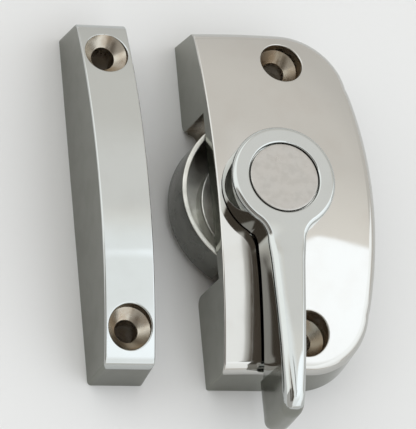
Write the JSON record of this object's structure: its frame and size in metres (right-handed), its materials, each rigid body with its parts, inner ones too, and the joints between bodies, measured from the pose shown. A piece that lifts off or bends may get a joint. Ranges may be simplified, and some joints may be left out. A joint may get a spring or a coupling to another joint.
{
  "type": "window cam lock with keep",
  "caption": "Domed window lock with a half-turn lever, a cup cam that swings out of its straight side, and a cambered keep bar with a pocket for the cam.",
  "frame": {"origin": "midway between the case's two screw holes, on the mounting face", "axes": "+Z out of the front, +Y along the sash, +X from the keep towards the case's curved side"},
  "size_m": [0.0544, 0.0778, 0.0213],
  "materials": {
    "plated_casting": "polished plating",
    "plated_cam": "barrel plated, lightly brushed",
    "satin_cap": "fine satin",
    "bright_steel": "bright turned",
    "bush_brass": "turned",
    "nylon": "natural"
  },
  "bodies": {
    "base": {"case": "plated_casting", "spindle_bush": "bush_brass", "stop_pin": "bright_steel", "lever_washer": "nylon", "keep": "plated_casting"},
    "rotor": {"lever": "plated_casting", "lever_cap": "satin_cap", "lever_screw": "bright_steel", "lock_washer": "bright_steel", "spindle": "bright_steel", "cam": "plated_cam", "disc_spring": "bright_steel"}
  },
  "joints": [
    {"name": "lever_turn", "type": "hinge", "parent": "base", "child": "rotor", "pos_m": [-0.0052, 0, 0.012], "axis": [0, 0, 1], "range_deg": [0, 180]}
  ]
}
